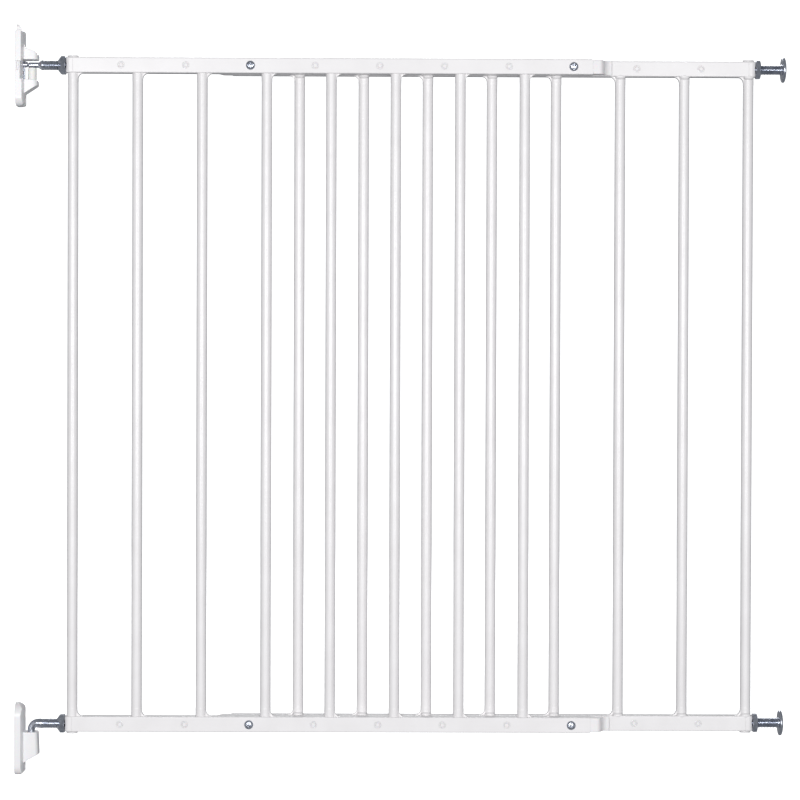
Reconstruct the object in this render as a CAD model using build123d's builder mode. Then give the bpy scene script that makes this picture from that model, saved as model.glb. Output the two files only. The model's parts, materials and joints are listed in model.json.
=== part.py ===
"""Wall-mounted extending safety gate: two overlapping barred panels on two hinge pins.

Frame: +X runs along the gate away from the hinge wall, +Y points into the guarded room, +Z is up.
The origin is on the lower wall bracket's wall face, level with the lower rails' centreline.
Lengths are in millimetres.
"""
from build123d import *
import math
import os

os.makedirs("parts", exist_ok=True)

# Layout along the gate
BAR_PITCH = 63.0
BARS_PER_PANEL = 8
REAR_PANEL_SHIFT = 3.5 * BAR_PITCH
HOLE_OFFSET = BAR_PITCH / 4
HINGE_X = 14.8
PIN_TO_POST = 39.9
FIRST_POST_X = HINGE_X + PIN_TO_POST
LAST_POST_X = FIRST_POST_X + REAR_PANEL_SHIFT + (BARS_PER_PANEL - 1) * BAR_PITCH
RAIL_SPACING = 643.0

# Rails and bars
RAIL_HEIGHT = 15.0
RAIL_DEPTH = 14.0
RAIL_WALL = 0.9
RAIL_EDGE_RADIUS = 1.2
RAIL_END = 507.0
BAR_DIAMETER = 10.5
BAR_WALL = 1.0
PANEL_GAP = 0.8
PANEL_OFFSET = RAIL_DEPTH + PANEL_GAP
CLAMP_HOLE_DIAMETER = 5.5
WAIST_DIAMETER = 4.4
WAIST_TAPER = 9.7
CRUSH_SLEEVE_DIAMETER = 8.2
CLAMP_HOLES = (3, 8)
CAP_DIAMETER = 6.5
CAP_RECESS = 0.1
CAP_LENGTH = 3.0
CAP_GROOVE_OUTER = 5.4
CAP_BUTTON_DIAMETER = 3.9
CAP_GROOVE_DEPTH = 0.5
CAP_BUTTON_RISE = 0.4
CAP_BUTTON_TAPER = 30

# Corner blocks, inserts and rail end plugs
CORNER_REACH = 7.0
SEAM_OFFSET = 0.4
CORNER_RADIUS = 4.5
CORNER_CAP_DIAMETER = 11.6
CORNER_CAP_HEIGHT = 2.0
CORNER_CAP_TAPER = 12
INSERT_LENGTH = 10.0
INSERT_CLEARANCE = 0.05
PLUG_SEAM = 0.4
PLUG_FLAT = 5.6
PLUG_SIDE_INSET = 0.8
PLUG_TOP_INSET = 0.6
PLUG_RAMP = 13.4
PLUG_RAMP_LEAN = 1.0
PLUG_TIP = 0.8
PLUG_EDGE_RADIUS = 0.5
PLUG_SHANK = 13.0

# Weld gussets and weld collars
GUSSET_WIDTH = 6.0
GUSSET_DROP = 5.0
GUSSET_THICKNESS = 6.0
GUSSET_OVERLAP = 0.9
GUSSET_HOLLOW = 0.36
COLLAR_DROP = 2.8
COLLAR_WIDTH = 9.6
COLLAR_PROUD = 0.7

# M10 hardware
THREAD_DIAMETER = 10.0
THREAD_CLEARANCE = 0.05
NUT_FLATS = 17.0
JAM_NUT_LENGTH = 4.6
NUT_CHAMFER = 1.2
DISC_DIAMETER = 25.0
DISC_LENGTH = 3.4
DISC_RIM_START = 0.8
DISC_RIM_END = 2.2
DISC_BACK_DIAMETER = 21.8
DISC_FACE_DIAMETER = 20.0
DISC_FACE_REACH = 36.2
DISC_STUD_LENGTH = 56.0
FLARE_HEX_LENGTH = 3.9
FLARE_CONE_LENGTH = 3.4
FLARE_NOSE_DIAMETER = 10.8
SHANK_DIAMETER = 9.4
SHANK_THREAD_INSIDE = 34.0
LEG_DIAMETER = 7.2
BEND_RADIUS = 6.0
ELBOW_CONE_LENGTH = 4.0
LEG_END_CHAMFER = 0.8
NECK_DIAMETER = 5.4
NECK_END = 4.0
NECK_ROUND = 1.6
NECK_LENGTH = 6.2
LEG_END = {"lower": 25.4, "upper": 18.8}

# Clamp screws (M5) and their lock nuts
SCREW_DIAMETER = 5.0
SCREW_HEAD_DIAMETER = 9.0
SCREW_HEAD_HEIGHT = 2.6
SCREW_PAST_NUT = 1.5
SCREW_HEAD_ROUND = 1.56
SCREW_RECESS = 1.4
SCREW_SLOT_LENGTH = 5.0
SCREW_SLOT_WIDTH = 1.1
CLAMP_NUT_FLATS = 8.0
CLAMP_NUT_HEIGHT = 5.0

# Wall brackets
PLATE_WIDTH = 29.0
BOSS_WIDTH = 17.0
SOCKET_CLEARANCE = 0.05
SOCKET_FLOOR_GAP = 0.1
BUSH_WALL = 0.65
SLEEVE_TOP = -2.9
WALL_HOLE_DIAMETER = 4.5
WALL_HOLE_HEAD = 8.6
WALL_HOLE_NECK = 3.0
WALL_HOLE_CONE_END = 5.2
BOSS_NOSE_RADIUS = 4.0
LOWER_PLATE = {"bottom": -49.2, "top": 20.6, "crown": 9.0, "edge": 6.2}
LOWER_BOSS = {"top": -8.0, "top_reach": 21.6, "reach": 22.5, "slope_start": -29.6, "slope_end": -38.3}
LOWER_WALL_HOLES = (9.0, -43.0)
UPPER_PLATE = {"bottom": -40.4, "top": -14.6, "crown": 8.6, "edge": 6.4}
UPPER_TRACK = {"bottom": -15.6, "top": 30.5, "crown": 6.2, "edge": 4.6}
UPPER_BOSS = {"top": -14.6, "top_reach": 20.4, "reach": 20.8, "slope_start": -19.8, "slope_end": -29.0}
UPPER_WALL_HOLES = (23.0, -35.0)
PLATE_TOP_RADIUS = 12.9
PLATE_FOOT_RADIUS = 8.5
ARCH_DROP = 13.0
ARCH_MIDDLE_DROP = 3.8
ARCH_MIDDLE_SHARE = 0.74
ARCH_TOP_SHARE = 0.2
FOOT_RISE = 7.0
FOOT_MIDDLE_RISE = 1.8
FOOT_MIDDLE_SHARE = 0.86
FOOT_BOTTOM_SHARE = 0.45
TONGUE_WIDTH = 7.2
TONGUE_TOP = 39.6
TRACK_TOP_RADIUS = 7.25
TONGUE_TOP_RADIUS = 2.8
BOSS_ROOT = 2.0
BOSS_INSIDE_WALL = 1.0
BOSS_TOP_EDGE = 0.9

# Lock slider and the keeper below it
SLIDER_TOP = 32.4
HOOD_BOTTOM = 4.9
WING_BOTTOM = 2.2
WING_START = 10.5
SLIDER_WALL = 1.6
SLIDER_EDGE_WALL = 1.1
SLIDER_GAP = 0.2
HOOD_REACH = 21.0
HOOD_NOSE = 3.6
HOOD_SHOULDER = 8.6
HOOD_SHOULDER_SETBACK = 4.0
HOOD_BROW = 6.8
HOOD_BROW_SETBACK = 1.4
HOOD_SLOPE = 10.6
HOOD_SLOPE_REACH = 4.2
HOOD_HOLLOW = 11.7
HOOD_HOLLOW_REACH = 2.4
HOOD_ROOT = 13.6
SLIDER_TOP_ROUND = 1.0
GROOVE_FROM_WALL = 1.4
GROOVE_HEIGHT = 1.8
GROOVE_DEPTH = 1.5
GROOVE_END = -6.0
KEEPER_ROD_DIAMETER = 2.2
KEEPER_ROD_X = 6.9
KEEPER_BOTTOM = -14.5
KEEPER_STUB_DIAMETER = 5.4
KEEPER_STUB_Z = 0.5
KEEPER_STUB_START = 5.0
KEEPER_STUB_END = 10.4
KEEPER_CLEARANCE = 0.05
KEEPER_STUB_ROUND = 0.6


def save(builder, name):
    """Label the finished piece and write its STEP file."""
    builder.part.label = name
    export_step(builder.part, f"parts/{name}.step")


def panel_side(panel):
    """+1 for the front panel and -1 for the rear one, which is the same panel turned round."""
    return 1 if panel == "front" else -1


def panel_y(panel):
    return 0.0 if panel == "front" else PANEL_OFFSET


def panel_x(panel, distance):
    """X of a point that lies `distance` inboard of the panel's own end post."""
    if panel == "front":
        return FIRST_POST_X + distance
    return LAST_POST_X - distance


def rail_z(level):
    return 0.0 if level == "lower" else RAIL_SPACING


def towards_bars(level):
    """+1 where the bars stand above the rail, -1 where they hang below it."""
    return 1 if level == "lower" else -1


def hole_distances():
    return [BAR_PITCH * k - HOLE_OFFSET for k in range(1, BARS_PER_PANEL + 1)]


def clamp_positions():
    return [FIRST_POST_X + BAR_PITCH * k - HOLE_OFFSET for k in CLAMP_HOLES]


def is_clamp_hole(x):
    return any(math.isclose(x, clamp_x) for clamp_x in clamp_positions())


def make_rail(panel, level):
    """Rectangular tube with a row of adjustment holes, each lined by a waisted crush sleeve."""
    y = panel_y(panel)
    z = rail_z(level)
    start = min(panel_x(panel, SEAM_OFFSET), panel_x(panel, RAIL_END))
    length = RAIL_END - SEAM_OFFSET
    hole_x = [panel_x(panel, d) for d in hole_distances()]
    clamp_x = [x for x in hole_x if is_clamp_hole(x)]
    plain_x = [x for x in hole_x if not is_clamp_hole(x)]
    hole_plane = Plane((0, y, z), x_dir=(1, 0, 0), z_dir=(0, -1, 0))
    with BuildPart() as rail:
        with BuildSketch(Plane((start, y, z), x_dir=(0, 1, 0), z_dir=(1, 0, 0))):
            RectangleRounded(RAIL_DEPTH, RAIL_HEIGHT, RAIL_EDGE_RADIUS)
            Rectangle(RAIL_DEPTH - 2 * RAIL_WALL, RAIL_HEIGHT - 2 * RAIL_WALL, mode=Mode.SUBTRACT)
        extrude(amount=length)
        with BuildSketch(hole_plane.offset(RAIL_WALL / 2 - RAIL_DEPTH / 2)):
            with Locations(*[(x, 0) for x in hole_x]):
                Circle(CRUSH_SLEEVE_DIAMETER / 2)
        extrude(amount=RAIL_DEPTH - RAIL_WALL)
        with BuildSketch(hole_plane):
            with Locations(*[(x, 0) for x in plain_x]):
                Circle(WAIST_DIAMETER / 2)
        extrude(amount=RAIL_DEPTH / 2, both=True, taper=-WAIST_TAPER, mode=Mode.SUBTRACT)
        with BuildSketch(hole_plane):
            with Locations(*[(x, 0) for x in clamp_x]):
                Circle(CLAMP_HOLE_DIAMETER / 2)
        extrude(amount=RAIL_DEPTH / 2, both=True, mode=Mode.SUBTRACT)
    save(rail, f"{panel}_{level}_rail")


def make_hole_caps(panel):
    """Push-in plastic caps in the unused holes, each with a ring groove and a raised button."""
    face_y = panel_y(panel) - RAIL_DEPTH / 2 + CAP_RECESS
    spare_x = [panel_x(panel, d) for d in hole_distances() if not is_clamp_hole(panel_x(panel, d))]
    seats = [(x, rail_z(level)) for level in ("lower", "upper") for x in spare_x]
    face_plane = Plane((0, face_y, 0), x_dir=(1, 0, 0), z_dir=(0, -1, 0))
    with BuildPart() as caps:
        with BuildSketch(face_plane):
            with Locations(*seats):
                Circle(CAP_DIAMETER / 2)
        extrude(amount=-CAP_LENGTH, taper=WAIST_TAPER)
        with BuildSketch(face_plane):
            with Locations(*seats):
                Circle(CAP_GROOVE_OUTER / 2)
                Circle(CAP_BUTTON_DIAMETER / 2, mode=Mode.SUBTRACT)
        extrude(amount=-CAP_GROOVE_DEPTH, mode=Mode.SUBTRACT)
        with BuildSketch(face_plane):
            with Locations(*seats):
                Circle(CAP_BUTTON_DIAMETER / 2)
        extrude(amount=CAP_BUTTON_RISE, taper=CAP_BUTTON_TAPER)
    save(caps, f"{panel}_hole_caps")


def make_bar(panel, number):
    """Round tube butt-welded between the lower and the upper rail."""
    x = panel_x(panel, BAR_PITCH * (number - 1))
    with BuildPart() as bar:
        with BuildSketch(Plane.XY.offset(RAIL_HEIGHT / 2)):
            with Locations((x, panel_y(panel))):
                Circle(BAR_DIAMETER / 2)
                Circle(BAR_DIAMETER / 2 - BAR_WALL, mode=Mode.SUBTRACT)
        extrude(amount=RAIL_SPACING - RAIL_HEIGHT)
    save(bar, f"{panel}_bar_{number}")


def make_corner_block(panel, level):
    """Rounded end of the rail above its end post, with a low cap over the post's line."""
    side = panel_side(panel)
    y = panel_y(panel)
    z = rail_z(level)
    post_x = panel_x(panel, 0)
    seam_x = panel_x(panel, SEAM_OFFSET)
    outer_x = panel_x(panel, -CORNER_REACH)
    away = -towards_bars(level)
    cap_plane = Plane((post_x, y, z + away * RAIL_HEIGHT / 2), z_dir=(0, 0, away))
    with BuildPart() as block:
        with BuildSketch(Plane.XY.offset(z - RAIL_HEIGHT / 2)) as plan:
            with Locations(((seam_x + outer_x) / 2, y)):
                Rectangle(abs(outer_x - seam_x), RAIL_DEPTH)
            fillet(plan.vertices().group_by(Axis.X)[0 if side > 0 else -1], CORNER_RADIUS)
        extrude(amount=RAIL_HEIGHT)
        corner_arcs = block.edges().filter_by(GeomType.CIRCLE)
        fillet(corner_arcs, RAIL_EDGE_RADIUS)
        with BuildSketch(cap_plane):
            Circle(CORNER_CAP_DIAMETER / 2)
        extrude(amount=CORNER_CAP_HEIGHT, taper=CORNER_CAP_TAPER)
        with BuildSketch(Plane((seam_x, y, z), z_dir=(-side, 0, 0))):
            Circle(THREAD_DIAMETER / 2 + 2 * THREAD_CLEARANCE)
        extrude(amount=CORNER_REACH + SEAM_OFFSET, mode=Mode.SUBTRACT)
    save(block, f"{panel}_{level}_corner_block")


def make_insert(panel, level):
    """Square steel nut held in the tube behind the corner block; it takes the M10 thread."""
    inner_depth = RAIL_DEPTH - 2 * RAIL_WALL - 2 * INSERT_CLEARANCE
    inner_height = RAIL_HEIGHT - 2 * RAIL_WALL - 2 * INSERT_CLEARANCE
    side = panel_side(panel)
    seam = (panel_x(panel, SEAM_OFFSET), panel_y(panel), rail_z(level))
    with BuildPart() as insert:
        with BuildSketch(Plane(seam, x_dir=(0, 1, 0), z_dir=(side, 0, 0))):
            Rectangle(inner_depth, inner_height)
            Circle(THREAD_DIAMETER / 2 + THREAD_CLEARANCE, mode=Mode.SUBTRACT)
        extrude(amount=INSERT_LENGTH)
    save(insert, f"{panel}_{level}_thread_insert")


def make_end_plug(panel, level):
    """Plastic plug: a shank inside the tube and a head that ramps down to the other rail."""
    side = panel_side(panel)
    y = panel_y(panel)
    z = rail_z(level)
    half_depth = RAIL_DEPTH / 2 - PLUG_SIDE_INSET
    head_height = RAIL_HEIGHT - 2 * PLUG_TOP_INSET
    head_x = panel_x(panel, RAIL_END + PLUG_SEAM)
    ramp_x = head_x + side * PLUG_FLAT
    tip_x = ramp_x + side * PLUG_RAMP
    outer_y = y - side * half_depth
    inner_y = y + side * half_depth
    ramp_start = (ramp_x, outer_y)
    ramp_middle = ((ramp_x + tip_x) / 2 - side * PLUG_RAMP_LEAN, y)
    ramp_end = (tip_x, inner_y - side * PLUG_TIP)
    inner_depth = RAIL_DEPTH - 2 * RAIL_WALL - 2 * INSERT_CLEARANCE
    inner_height = RAIL_HEIGHT - 2 * RAIL_WALL - 2 * INSERT_CLEARANCE
    with BuildPart() as plug:
        with BuildSketch(Plane.XY.offset(z - head_height / 2)):
            with BuildLine():
                Line((head_x, outer_y), ramp_start)
                Spline(ramp_start, ramp_middle, ramp_end, tangents=[(side, 0), (side, 0)])
                Polyline(ramp_end, (tip_x, inner_y), (head_x, inner_y), (head_x, outer_y))
            make_face()
        extrude(amount=head_height)
        outer_edges = plug.edges().filter_by(Axis.X).group_by(Axis.Y)[0 if side > 0 else -1]
        fillet(outer_edges, PLUG_EDGE_RADIUS)
        with BuildSketch(Plane((head_x, y, z), x_dir=(0, 1, 0), z_dir=(-side, 0, 0))):
            Rectangle(inner_depth, inner_height)
        extrude(amount=PLUG_SHANK)
    save(plug, f"{panel}_{level}_end_plug")


def make_gussets(panel):
    """Small concave webs, one beside each bar end, on the bar's inboard side."""
    side = panel_side(panel)
    y = panel_y(panel)
    with BuildPart() as gussets:
        for level in ("lower", "upper"):
            up = towards_bars(level)
            rail_face = rail_z(level) + up * RAIL_HEIGHT / 2
            for k in range(BARS_PER_PANEL):
                bar_side = panel_x(panel, BAR_PITCH * k) + side * BAR_DIAMETER / 2
                corner = (bar_side - side * GUSSET_OVERLAP, rail_face)
                foot = (bar_side + side * GUSSET_WIDTH, rail_face)
                shoulder = (bar_side, rail_face + up * GUSSET_DROP)
                inner = (bar_side - side * GUSSET_OVERLAP, rail_face + up * GUSSET_DROP)
                hollow_x = bar_side + side * GUSSET_WIDTH * GUSSET_HOLLOW
                hollow_z = rail_face + up * GUSSET_DROP * GUSSET_HOLLOW
                with BuildSketch(Plane((0, y, 0), x_dir=(1, 0, 0), z_dir=(0, -1, 0))):
                    with BuildLine():
                        Polyline(shoulder, inner, corner, foot)
                        ThreePointArc(foot, (hollow_x, hollow_z), shoulder)
                    make_face()
                extrude(amount=GUSSET_THICKNESS / 2, both=True)
                with BuildSketch(Plane.XY.offset(rail_face)):
                    with Locations((panel_x(panel, BAR_PITCH * k), y)):
                        Circle(BAR_DIAMETER / 2)
                extrude(amount=up * (GUSSET_DROP + 1), mode=Mode.SUBTRACT)
    save(gussets, f"{panel}_panel_gussets")


def make_collars(panel):
    """Weld bead round each bar end, lapping onto the rail's inner face."""
    side = panel_side(panel)
    y = panel_y(panel)
    inner_y = y + side * RAIL_DEPTH / 2
    with BuildPart() as collars:
        for level in ("lower", "upper"):
            up = towards_bars(level)
            rail_face = rail_z(level) + up * RAIL_HEIGHT / 2
            for k in range(BARS_PER_PANEL):
                x = panel_x(panel, BAR_PITCH * k)
                with BuildSketch(Plane((x, inner_y, rail_face), x_dir=(1, 0, 0), z_dir=(0, side, 0))):
                    Ellipse(COLLAR_WIDTH / 2, COLLAR_DROP)
                extrude(amount=COLLAR_PROUD)
                with BuildSketch(Plane((x, inner_y, rail_face), x_dir=(1, 0, 0), z_dir=(0, -side, 0))):
                    Ellipse(COLLAR_WIDTH / 2, COLLAR_DROP)
                extrude(amount=RAIL_DEPTH / 4)
        for level in ("lower", "upper"):
            up = towards_bars(level)
            rail_face = rail_z(level) + up * RAIL_HEIGHT / 2
            middle_x = (FIRST_POST_X + LAST_POST_X) / 2
            with BuildSketch(Plane.XY.offset(rail_face)):
                with Locations((middle_x, y)):
                    Rectangle(2 * (LAST_POST_X - FIRST_POST_X), RAIL_DEPTH)
            extrude(amount=-up * RAIL_HEIGHT, mode=Mode.SUBTRACT)
            with BuildSketch(Plane.XY.offset(rail_face)):
                with Locations(*[(panel_x(panel, BAR_PITCH * k), y) for k in range(BARS_PER_PANEL)]):
                    Circle(BAR_DIAMETER / 2)
            extrude(amount=up * (COLLAR_DROP + 1), mode=Mode.SUBTRACT)
    save(collars, f"{panel}_panel_weld_collars")


def make_disc_bolt(level):
    """Zinc-plated stud with a low domed disc head that bears on the far wall or its cup."""
    z = rail_z(level)
    face_x = LAST_POST_X + DISC_FACE_REACH
    inner_x = face_x - DISC_LENGTH
    with BuildPart() as bolt:
        with BuildSketch(Plane((0, PANEL_OFFSET, z), x_dir=(1, 0, 0), z_dir=(0, -1, 0))):
            with BuildLine():
                Polyline(
                    (inner_x - DISC_STUD_LENGTH, 0),
                    (inner_x - DISC_STUD_LENGTH, THREAD_DIAMETER / 2),
                    (inner_x, THREAD_DIAMETER / 2),
                    (inner_x, DISC_BACK_DIAMETER / 2),
                    (inner_x + DISC_RIM_START, DISC_DIAMETER / 2),
                    (inner_x + DISC_RIM_END, DISC_DIAMETER / 2),
                    (face_x, DISC_FACE_DIAMETER / 2),
                    (face_x, 0),
                    close=True,
                )
            make_face()
        revolve(axis=Axis((0, PANEL_OFFSET, z), (1, 0, 0)))
    save(bolt, f"{level}_disc_bolt")


def make_jam_nut(level):
    """Thin M10 hex nut that locks the disc bolt against the corner block."""
    z = rail_z(level)
    start = LAST_POST_X + CORNER_REACH
    nut_axis = Axis((0, PANEL_OFFSET, z), (1, 0, 0))
    with BuildPart() as nut:
        with BuildSketch(Plane((start, PANEL_OFFSET, z), x_dir=(0, 1, 0), z_dir=(1, 0, 0))):
            RegularPolygon(NUT_FLATS / 2, 6, major_radius=False)
            Circle(THREAD_DIAMETER / 2 + THREAD_CLEARANCE, mode=Mode.SUBTRACT)
        extrude(amount=JAM_NUT_LENGTH)
        with BuildSketch(Plane((0, PANEL_OFFSET, z), x_dir=(1, 0, 0), z_dir=(0, -1, 0))):
            with BuildLine():
                corner_radius = NUT_FLATS / math.sqrt(3)
                Polyline(
                    (start, 0),
                    (start, NUT_FLATS / 2),
                    (start + NUT_CHAMFER / 2, corner_radius),
                    (start + JAM_NUT_LENGTH - NUT_CHAMFER / 2, corner_radius),
                    (start + JAM_NUT_LENGTH, NUT_FLATS / 2),
                    (start + JAM_NUT_LENGTH, 0),
                    close=True,
                )
            make_face()
        revolve(axis=nut_axis, mode=Mode.INTERSECT)
    save(nut, f"{level}_disc_jam_nut")


def make_hinge_pin(level):
    """L-shaped pin with an M10 threaded shank; the upper one has a necked, squared elbow."""
    z = rail_z(level)
    cone_end = HINGE_X + BEND_RADIUS + ELBOW_CONE_LENGTH
    shank_end = FIRST_POST_X + SHANK_THREAD_INSIDE
    thread_start = FIRST_POST_X - CORNER_REACH - FLARE_HEX_LENGTH - FLARE_CONE_LENGTH
    elbow = squared_elbow(z) if level == "upper" else bent_elbow(z)
    with BuildPart() as pin:
        with BuildSketch(Plane((thread_start, 0, z), z_dir=(1, 0, 0))):
            Circle(THREAD_DIAMETER / 2)
        extrude(amount=shank_end - thread_start)
        with BuildSketch(Plane((cone_end, 0, z), z_dir=(1, 0, 0))):
            Circle(SHANK_DIAMETER / 2)
        extrude(amount=thread_start - cone_end)
        add(elbow)
        chamfer(pin.edges().filter_by(GeomType.CIRCLE).sort_by(Axis.Z)[0], LEG_END_CHAMFER)
    save(pin, f"{level}_hinge_pin")


def bent_elbow(z):
    """Quarter bend from the shank down to a plain leg."""
    bend_x = HINGE_X + BEND_RADIUS
    with BuildPart() as elbow:
        with BuildSketch(Plane((bend_x, 0, z), z_dir=(1, 0, 0))):
            Circle(LEG_DIAMETER / 2)
        with BuildSketch(Plane((bend_x + ELBOW_CONE_LENGTH, 0, z), z_dir=(1, 0, 0))):
            Circle(SHANK_DIAMETER / 2)
        loft()
        with BuildSketch(Plane((bend_x, 0, z), z_dir=(1, 0, 0))):
            Circle(LEG_DIAMETER / 2)
        revolve(axis=Axis((bend_x, 0, z - BEND_RADIUS), (0, -1, 0)), revolution_arc=90)
        with BuildSketch(Plane.XY.offset(z - LEG_END["lower"])):
            with Locations((HINGE_X, 0)):
                Circle(LEG_DIAMETER / 2)
        extrude(amount=LEG_END["lower"] - BEND_RADIUS)
    return elbow.part


def squared_elbow(z):
    """Neck that runs just past the leg, a cone up to the shank, and the leg itself."""
    neck_start = HINGE_X - NECK_END
    cone_start = HINGE_X + NECK_LENGTH
    cone_end = HINGE_X + BEND_RADIUS + ELBOW_CONE_LENGTH
    with BuildPart() as elbow:
        with BuildSketch(Plane((neck_start, 0, z), z_dir=(1, 0, 0))):
            Circle(NECK_DIAMETER / 2)
        extrude(amount=cone_start - neck_start)
        fillet(elbow.edges().group_by(Axis.X)[0], NECK_ROUND)
        with BuildSketch(Plane((cone_start, 0, z), z_dir=(1, 0, 0))):
            Circle(NECK_DIAMETER / 2)
        with BuildSketch(Plane((cone_end, 0, z), z_dir=(1, 0, 0))):
            Circle(SHANK_DIAMETER / 2)
        loft()
        with BuildSketch(Plane.XY.offset(z - LEG_END["upper"])):
            with Locations((HINGE_X, 0)):
                Circle(LEG_DIAMETER / 2)
        extrude(amount=LEG_END["upper"])
    return elbow.part


def make_flare_nut(level):
    """Hex lock nut with a conical flange side, tight against the corner block."""
    z = rail_z(level)
    hex_end = FIRST_POST_X - CORNER_REACH
    cone_end = hex_end - FLARE_HEX_LENGTH - FLARE_CONE_LENGTH
    with BuildPart() as nut:
        with BuildSketch(Plane((hex_end, 0, z), x_dir=(0, 1, 0), z_dir=(-1, 0, 0))):
            RegularPolygon(NUT_FLATS / 2, 6, major_radius=False)
        extrude(amount=FLARE_HEX_LENGTH + FLARE_CONE_LENGTH)
        with BuildSketch(Plane((0, 0, z), x_dir=(1, 0, 0), z_dir=(0, -1, 0))):
            with BuildLine():
                corner_radius = NUT_FLATS / math.sqrt(3)
                Polyline(
                    (hex_end, 0),
                    (hex_end, NUT_FLATS / 2),
                    (hex_end - NUT_CHAMFER / 2, corner_radius),
                    (hex_end - FLARE_HEX_LENGTH, corner_radius),
                    (cone_end, FLARE_NOSE_DIAMETER / 2),
                    (cone_end, 0),
                    close=True,
                )
            make_face()
        revolve(axis=Axis((0, 0, z), (1, 0, 0)), mode=Mode.INTERSECT)
        with BuildSketch(Plane((hex_end, 0, z), z_dir=(-1, 0, 0))):
            Circle(THREAD_DIAMETER / 2 + THREAD_CLEARANCE)
        extrude(amount=FLARE_HEX_LENGTH + FLARE_CONE_LENGTH, mode=Mode.SUBTRACT)
    save(nut, f"{level}_hinge_lock_nut")


def make_clamp_screws():
    """Four pan-head screws that pass through both rails of a pair."""
    front_y = -RAIL_DEPTH / 2
    grip = RAIL_DEPTH + PANEL_OFFSET
    length = grip + CLAMP_NUT_HEIGHT + SCREW_PAST_NUT
    seats = [(x, rail_z(level)) for level in ("lower", "upper") for x in clamp_positions()]
    front_plane = Plane((0, front_y, 0), x_dir=(1, 0, 0), z_dir=(0, -1, 0))
    with BuildPart() as screws:
        with BuildSketch(front_plane):
            with Locations(*seats):
                Circle(SCREW_HEAD_DIAMETER / 2)
        extrude(amount=SCREW_HEAD_HEIGHT)
        head_rims = screws.edges().filter_by(GeomType.CIRCLE).group_by(Axis.Y)[0]
        fillet(head_rims, SCREW_HEAD_ROUND)
        with BuildSketch(front_plane.offset(SCREW_HEAD_HEIGHT - SCREW_RECESS)):
            with Locations(*seats):
                Rectangle(SCREW_SLOT_LENGTH, SCREW_SLOT_WIDTH)
                Rectangle(SCREW_SLOT_WIDTH, SCREW_SLOT_LENGTH)
        extrude(amount=SCREW_RECESS, mode=Mode.SUBTRACT)
        with BuildSketch(front_plane):
            with Locations(*seats):
                Circle(SCREW_DIAMETER / 2)
        extrude(amount=-length)
    save(screws, "clamp_screws")


def make_clamp_nuts():
    """Four M5 lock nuts on the clamp screws, behind the rear rails."""
    back_y = PANEL_OFFSET + RAIL_DEPTH / 2
    seats = [(x, rail_z(level)) for level in ("lower", "upper") for x in clamp_positions()]
    with BuildPart() as nuts:
        with BuildSketch(Plane((0, back_y, 0), x_dir=(1, 0, 0), z_dir=(0, -1, 0))):
            with Locations(*seats):
                RegularPolygon(CLAMP_NUT_FLATS / 2, 6, major_radius=False)
                Circle(SCREW_DIAMETER / 2 + THREAD_CLEARANCE, mode=Mode.SUBTRACT)
        extrude(amount=-CLAMP_NUT_HEIGHT)
    save(nuts, "clamp_lock_nuts")


def crown_profile(width, crown, edge):
    """Plan outline of a plate: flat on the wall, square sides, arched outer face."""
    with BuildSketch() as outline:
        with BuildLine():
            Polyline((edge, width / 2), (0, width / 2), (0, -width / 2), (edge, -width / 2))
            ThreePointArc((edge, -width / 2), (crown, 0), (edge, width / 2))
        make_face()
    return outline.sketch


def side_profile(bottom, top, crown):
    """Side outline of a plate: a long arch at the top and a short round at the bottom."""
    arch_start = (crown, top - ARCH_DROP)
    arch_middle = (crown * ARCH_MIDDLE_SHARE, top - ARCH_MIDDLE_DROP)
    arch_end = (crown * ARCH_TOP_SHARE, top)
    round_start = (crown * FOOT_BOTTOM_SHARE, bottom)
    round_middle = (crown * FOOT_MIDDLE_SHARE, bottom + FOOT_MIDDLE_RISE)
    round_end = (crown, bottom + FOOT_RISE)
    with BuildSketch() as outline:
        with BuildLine():
            ThreePointArc(arch_start, arch_middle, arch_end)
            Polyline(arch_end, (0, top), (0, bottom), round_start)
            ThreePointArc(round_start, round_middle, round_end)
            Line(round_end, arch_start)
        make_face()
    return outline.sketch


def wall_hole(z):
    """Solid to cut away for a countersunk screw hole, square to the wall."""
    reach = LOWER_BOSS["reach"]
    with BuildPart() as hole:
        with BuildSketch(Plane((0, 0, z), x_dir=(1, 0, 0), z_dir=(0, -1, 0))):
            with BuildLine():
                Polyline(
                    (0, 0),
                    (0, WALL_HOLE_DIAMETER / 2),
                    (WALL_HOLE_NECK, WALL_HOLE_DIAMETER / 2),
                    (WALL_HOLE_CONE_END, WALL_HOLE_HEAD / 2),
                    (reach, WALL_HOLE_HEAD / 2),
                    (reach, 0),
                    close=True,
                )
            make_face()
        revolve(axis=Axis((0, 0, z), (1, 0, 0)))
    return hole.part


def rounded_plate(z, sizes):
    """Crowned plate with round ends, flat on the wall."""
    height = sizes["top"] - sizes["bottom"]
    middle = z + (sizes["top"] + sizes["bottom"]) / 2
    plan = crown_profile(PLATE_WIDTH, sizes["crown"], sizes["edge"])
    side_outline = side_profile(sizes["bottom"], sizes["top"], sizes["crown"])
    with BuildPart() as plate:
        with BuildSketch(Plane.YZ) as outline:
            with Locations((0, middle)):
                Rectangle(PLATE_WIDTH, height)
            fillet(outline.vertices().group_by(Axis.Y)[-1], PLATE_TOP_RADIUS)
            fillet(outline.vertices().group_by(Axis.Y)[0], PLATE_FOOT_RADIUS)
        extrude(amount=sizes["crown"])
        with BuildSketch(Plane.XY.offset(z + sizes["bottom"])):
            add(plan)
        extrude(amount=height, mode=Mode.INTERSECT)
        with BuildSketch(Plane((0, 0, z), x_dir=(1, 0, 0), z_dir=(0, -1, 0))):
            add(side_outline)
        extrude(amount=PLATE_WIDTH, both=True, mode=Mode.INTERSECT)
    return plate.part


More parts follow.
